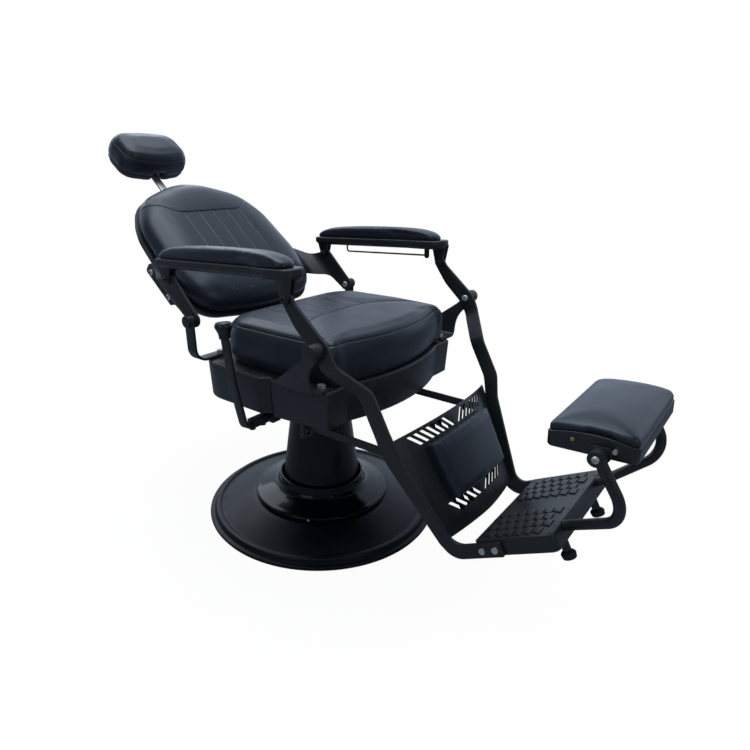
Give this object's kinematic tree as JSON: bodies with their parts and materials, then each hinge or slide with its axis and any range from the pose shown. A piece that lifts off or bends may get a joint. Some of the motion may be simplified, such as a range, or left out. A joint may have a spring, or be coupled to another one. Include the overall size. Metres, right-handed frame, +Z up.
{
  "type": "barber chair",
  "caption": "Vintage reclining barber chair: round pump base, padded seat, tilting back and headrest, linked armrests and a swinging legrest with footplate and padded foot bar.",
  "frame": {"origin": "on the swivel axis at the floor", "axes": "+Z up, the sitter faces -Y, +X is the sitter's left"},
  "size_m": [0.7115, 1.6409, 1.0502],
  "materials": {
    "base_iron": "satin",
    "gloss_black": "gloss",
    "satin_black": "satin",
    "bright_steel": "satin",
    "black_leather": "satin",
    "black_board": "satin",
    "black_rubber": "matte",
    "black_plastic": "gloss"
  },
  "bodies": {
    "base": {"base_plate": "base_iron", "flange_cover": "gloss_black", "pump_cylinder": "satin_black", "pump_gland": "satin_black"},
    "lift": {"ram": "bright_steel", "top_plate": "satin_black", "cone_shroud": "gloss_black"},
    "seat": {"swivel_plate": "satin_black", "swivel_bolts": "bright_steel", "seat_box": "black_board", "seat_cushion": "black_leather", "front_bracket_left": "satin_black", "front_bracket_right": "satin_black", "rear_bracket_left": "satin_black", "rear_bracket_right": "satin_black", "bracket_bolts": "bright_steel", "pivot_bolts": "bright_steel", "lock_bar_guides": "satin_black", "lever_bearing": "satin_black"},
    "pump_lever": {"lever_shaft": "satin_black", "lever_bar": "satin_black", "lever_bolts": "bright_steel", "lever_knob": "black_plastic"},
    "back": {"back_shell": "black_board", "back_cushion": "black_leather", "wing_left": "satin_black", "wing_right": "satin_black", "wing_bolts": "bright_steel", "headrest_socket": "satin_black"},
    "headrest_stem": {"headrest_bar": "bright_steel"},
    "headrest": {"headrest_cushion": "black_leather", "headrest_bracket": "satin_black", "headrest_pin": "bright_steel"},
    "armrest_left": {"armrest_tray_left": "satin_black", "armrest_pad_left": "black_leather", "arm_bolts_left": "bright_steel"},
    "armrest_right": {"armrest_tray_right": "satin_black", "armrest_pad_right": "black_leather", "arm_bolts_right": "bright_steel"},
    "trigger": {"recline_trigger": "satin_black"},
    "leg": {"leg_strap_left": "satin_black", "leg_strap_right": "satin_black", "leg_panel": "satin_black", "calf_pad": "black_leather", "strap_bolts": "bright_steel", "lock_bar_lugs": "satin_black", "lock_bar_pins": "bright_steel", "footplate": "satin_black", "foot_rods": "satin_black", "rubber_feet": "black_rubber", "pad_tube_left": "satin_black", "pad_tube_right": "satin_black"},
    "lock_bars": {"lock_bars": "satin_black"},
    "foot_pad": {"foot_pad_tray": "black_board", "foot_pad_cushion": "black_leather", "foot_pad_brackets": "satin_black", "foot_pad_bolts": "bright_steel"}
  },
  "joints": [
    {"name": "lift", "type": "slide", "parent": "base", "child": "lift", "axis": [0, 0, 1], "range_m": [0, 0.15]},
    {"name": "swivel", "type": "hinge", "parent": "lift", "child": "seat", "pos_m": [0, 0, 0.4], "axis": [0, 0, 1], "continuous": true},
    {"name": "recline", "type": "hinge", "parent": "seat", "child": "back", "pos_m": [0, 0.145, 0.6], "axis": [-1, 0, 0], "range_deg": [-30, 0]},
    {"name": "leg_swing", "type": "hinge", "parent": "seat", "child": "leg", "pos_m": [0, -0.274, 0.609], "axis": [-1, 0, 0], "range_deg": [-30, 0]},
    {"name": "armrest_left_turn", "type": "hinge", "parent": "back", "child": "armrest_left", "pos_m": [0, 0.233, 0.692], "axis": [-1, 0, 0], "range_deg": [0, 30]},
    {"name": "armrest_right_turn", "type": "hinge", "parent": "back", "child": "armrest_right", "pos_m": [0, 0.233, 0.692], "axis": [-1, 0, 0], "range_deg": [0, 30]},
    {"name": "lock_bar_turn", "type": "hinge", "parent": "leg", "child": "lock_bars", "pos_m": [0, -0.39053, 0.35143], "axis": [-1, 0, 0], "range_deg": [0, 20]},
    {"name": "headrest_height", "type": "slide", "parent": "back", "child": "headrest_stem", "axis": [0, 0.7604, 0.6494], "range_m": [-0.07, 0.04]},
    {"name": "headrest_tilt", "type": "hinge", "parent": "headrest_stem", "child": "headrest", "pos_m": [0, 0.73949, 0.96177], "axis": [-1, 0, 0], "range_deg": [-8, 8]},
    {"name": "pump_lever_turn", "type": "hinge", "parent": "seat", "child": "pump_lever", "pos_m": [-0.241, -0.035, 0.376], "axis": [-1, 0, 0], "range_deg": [-15, 15], "stiffness_Nm_per_rad": 25},
    {"name": "trigger_squeeze", "type": "hinge", "parent": "armrest_left", "child": "trigger", "pos_m": [0.3, -0.15424, 0.71792], "axis": [1, 0, 0], "range_deg": [0, 2.2], "stiffness_Nm_per_rad": 8, "springref_deg": -5.73},
    {"name": "foot_pad_tilt", "type": "hinge", "parent": "leg", "child": "foot_pad", "pos_m": [0, -0.78558, 0.47863], "axis": [-1, 0, 0], "range_deg": [-40, 40]}
  ],
  "couplings": [
    {"joint": "leg_swing", "follows": "recline", "ratio": 1},
    {"joint": "armrest_left_turn", "follows": "recline", "ratio": -1},
    {"joint": "armrest_right_turn", "follows": "recline", "ratio": -1},
    {"joint": "lock_bar_turn", "follows": "recline", "ratio": -0.64}
  ]
}
